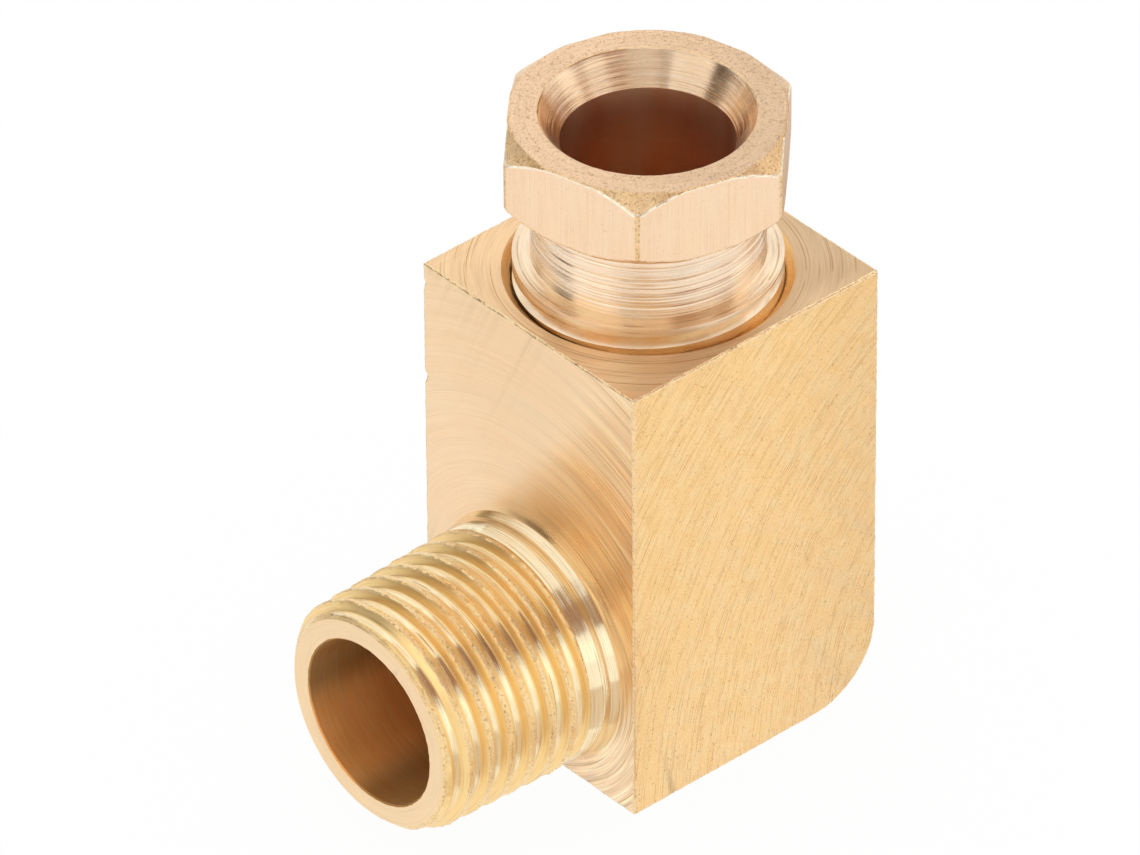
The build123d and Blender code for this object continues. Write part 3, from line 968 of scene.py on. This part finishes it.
def ferruleShell():
    s = ferrule
    shell = Shell()
    angles = fullTurn(180)
    low = s["base"]
    high = low + 2 * s["cone"] + s["straight"]
    middle = (s["bore"], (low + high) / 2)
    line = rounded([middle, (s["bore"], low), (s["nose"], low), (s["belt"], low + s["cone"]),
                    (s["belt"], low + s["cone"] + s["straight"]), (s["nose"], high), (s["bore"], high),
                    middle], 0.08)
    shell.turned(upright, line, angles, 0)
    return shell


ferrulePiece = ferruleShell().build("brassFerrule", ferruleFinishes)
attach(ferrulePiece, "ring")
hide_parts("ferrule")

# Floor, light and camera

studio = dict(
    floor=1.5, floorWhite=1.0, seenShare=0.96, mirroredShare=0.97, world=1.0,
    reach=0.5, eyeLevel=0.013,  # how far off the cards stand, and the height that they are aimed from
    # cards that only reflections show: colour, then corners as azimuth and elevation
    cards=dict(
        cameraSide=((0.55, 0.46, 0.38), ((-54, 17), (-30, 20), (-14, 22), (-14, 52), (-30, 44), (-54, 38))),
        backRight=((0.38, 0.22, 0.15), ((-14, 24), (2, 26), (6, 34), (26, 34), (30, 22), (37, 20), (48, 32),
                                        (60, 46), (60, 53), (45, 61), (14, 68), (-14, 66))),
        frontEdge=((0.3, 0.25, 0.2), ((-68, 18), (-54, 17), (-54, 38), (-68, 38))),
        leftGap=((0.04, 0.03, 0.02), ((-152, 4), (-140, 4), (-138, 1), (-114, 1), (-114, 32), (-134, 32),
                                      (-138, 20), (-140, 13), (-152, 13))),
        leftNeck=((0.22, 0.18, 0.13), ((-180, -1), (-152, -1), (-152, 4), (-156, 15), (-180, 15))),
        leftLow=((0.35, 0.3, 0.2), ((-147, -4), (-132, -4), (-132, 3), (-147, 3))),
        leftBack=((0.6, 0.57, 0.45), ((-172, 16), (-158, 16), (-158, 36), (-172, 36))),
        leftLamp=((1.7, 1.64, 1.58), ((-110, -1), (-74, -1), (-74, 13), (-110, 13))),
        leftSky=((0.84, 0.82, 0.78), ((-114, 13), (-72, 13), (-72, 34), (-114, 30))),
        behindNut=((0.4, 0.25, 0.12), ((84, -1), (114, -1), (114, 30), (84, 30))),
        rightLamp=((1.2, 1.19, 1.17), ((-10, 0), (60, 0), (60, 19), (37, 18), (30, 18), (-10, 18))),
    ),
    # painted shade on the floor next to the block, which only reflections show: colour, then corners in
    # millimetres
    patches=dict(
        besideStub=((0.76, 0.65, 0.55), ((9, -24), (26, -24), (26, -2), (14, -6), (9, -8))),
        behindBlock=((0.35, 0.22, 0.1), ((-20, 24), (2, 24), (2, 75), (-20, 75))),
        leftOfBlock=((0.5, 0.42, 0.34), ((-12, 1), (-80, 2), (-80, -14), (-12, -6))),
    ),
    overhead=dict(size=(0.5, 0.4), place=(0.0, 0.3, 0.46), strength=0.2),
)


def bareMaterial(name):
    material = bpy.data.materials.new(name)
    material.use_nodes = True
    material.node_tree.nodes.clear()
    return material, material.node_tree


def glowing(name, colour):
    material, tree = bareMaterial(name)
    light = Node(tree, "ShaderNodeEmission", {"Color": (*colour, 1), "Strength": 1.0})
    Node(tree, "ShaderNodeOutputMaterial", {0: light[0]})
    return material


def studioPlane(name, corners, material):
    mesh = bpy.data.meshes.new(name)
    mesh.from_pydata(corners, [], [tuple(range(len(corners)))])
    mesh.materials.append(material)
    plane = newObject(name, mesh)
    return plane


def reflectedCard(name, corners, colour):  # seen only in reflections
    card = studioPlane(name, corners, glowing(name, colour))
    card.visible_camera = card.visible_diffuse = card.visible_shadow = False


def studioFloor():
    s = studio
    material, tree = bareMaterial("paleFloor")
    paths = Node(tree, "ShaderNodeLightPath")
    mirrored = (paths["Is Glossy Ray"] + paths["Is Transmission Ray"]).clamped()
    share = (paths["Is Camera Ray"] * s["seenShare"] + mirrored * s["mirroredShare"]).clamped()
    matt = Node(tree, "ShaderNodeBsdfDiffuse", {"Color": (0.9, 0.9, 0.9, 1)})
    light = Node(tree, "ShaderNodeEmission", {"Color": (1, 1, 1, 1), "Strength": s["floorWhite"]})
    mix = Node(tree, "ShaderNodeMixShader", {0: share, 1: matt[0], 2: light[0]})
    Node(tree, "ShaderNodeOutputMaterial", {0: mix[0]})
    half = s["floor"]
    corners = [(-half, -half, 0), (half, -half, 0), (half, half, 0), (-half, half, 0)]
    studioPlane("studioFloor", corners, material)


def studioCards():
    for name, (colour, corners) in studio["cards"].items():
        points = []
        for azimuth, elevation in corners:
            az, el = math.radians(azimuth), math.radians(elevation)
            toward = Vector((math.cos(az) * math.cos(el), math.sin(az) * math.cos(el), math.sin(el)))
            points.append(Vector((0, 0, studio["eyeLevel"])) + studio["reach"] * toward)
        reflectedCard(name, points, colour)
    # the painted floor shade, seen only in reflections
    for name, (colour, corners) in studio["patches"].items():
        reflectedCard(name, [(x * mm, y * mm, 0.1 * mm) for x, y in corners], colour)


def softbox(name, s):
    width, length = s["size"]
    data = bpy.data.lights.new(name, "AREA")
    data.shape = "RECTANGLE"
    data.size, data.size_y = width, length
    data.energy = s["strength"] * math.pi * width * length
    lamp = newObject(name, data)
    place = Vector(s["place"])
    lamp.location = place
    lamp.rotation_euler = (place - Vector((0, 0, 0.015))).to_track_quat("Z", "Y").to_euler()


def studioWorld():
    world = bpy.data.worlds.new("studioWorld")
    bpy.context.scene.world = world
    world.use_nodes = True
    light = world.node_tree.nodes["Background"].inputs
    feed(light["Color"], (1, 1, 1, 1))
    feed(light["Strength"], studio["world"])


# the photograph's camera, from the corners and circles of the fitting
photo = dict(azimuth=48.551, elevation=36.745, roll=0.386, scale=19.78, reach=13941.5,
             offset=(78.276, 160.233), origin=(0, 0, 26.326), width=1140)


def photoCamera():
    s = photo
    az, el, roll = (math.radians(s[k]) for k in ("azimuth", "elevation", "roll"))
    right = Vector((math.cos(az), math.sin(az), 0))
    back = Vector((math.sin(az) * math.cos(el), -math.cos(az) * math.cos(el), math.sin(el)))
    up = back.cross(right)
    across = right * math.cos(roll) - up * math.sin(roll)
    upward = right * math.sin(roll) + up * math.cos(roll)
    offset = back * s["reach"] - across * s["offset"][0] - upward * s["offset"][1]
    place = Vector(s["origin"]) + offset / s["scale"]
    data = bpy.data.cameras.new("photoCamera")
    data.sensor_fit = "HORIZONTAL"
    data.sensor_width = 36.0
    data.lens = s["reach"] * data.sensor_width / s["width"]
    data.clip_start, data.clip_end = 0.05, 5.0
    camera = newObject("photoCamera", data)
    turned = Matrix((across, upward, back)).transposed().to_4x4()
    camera.matrix_world = Matrix.Translation(place * mm) @ turned
    bpy.context.scene.camera = camera


studioFloor()
studioCards()
softbox("overheadSoftbox", studio["overhead"])
studioWorld()
photoCamera()
bpy.context.scene.view_settings.view_transform = "Standard"
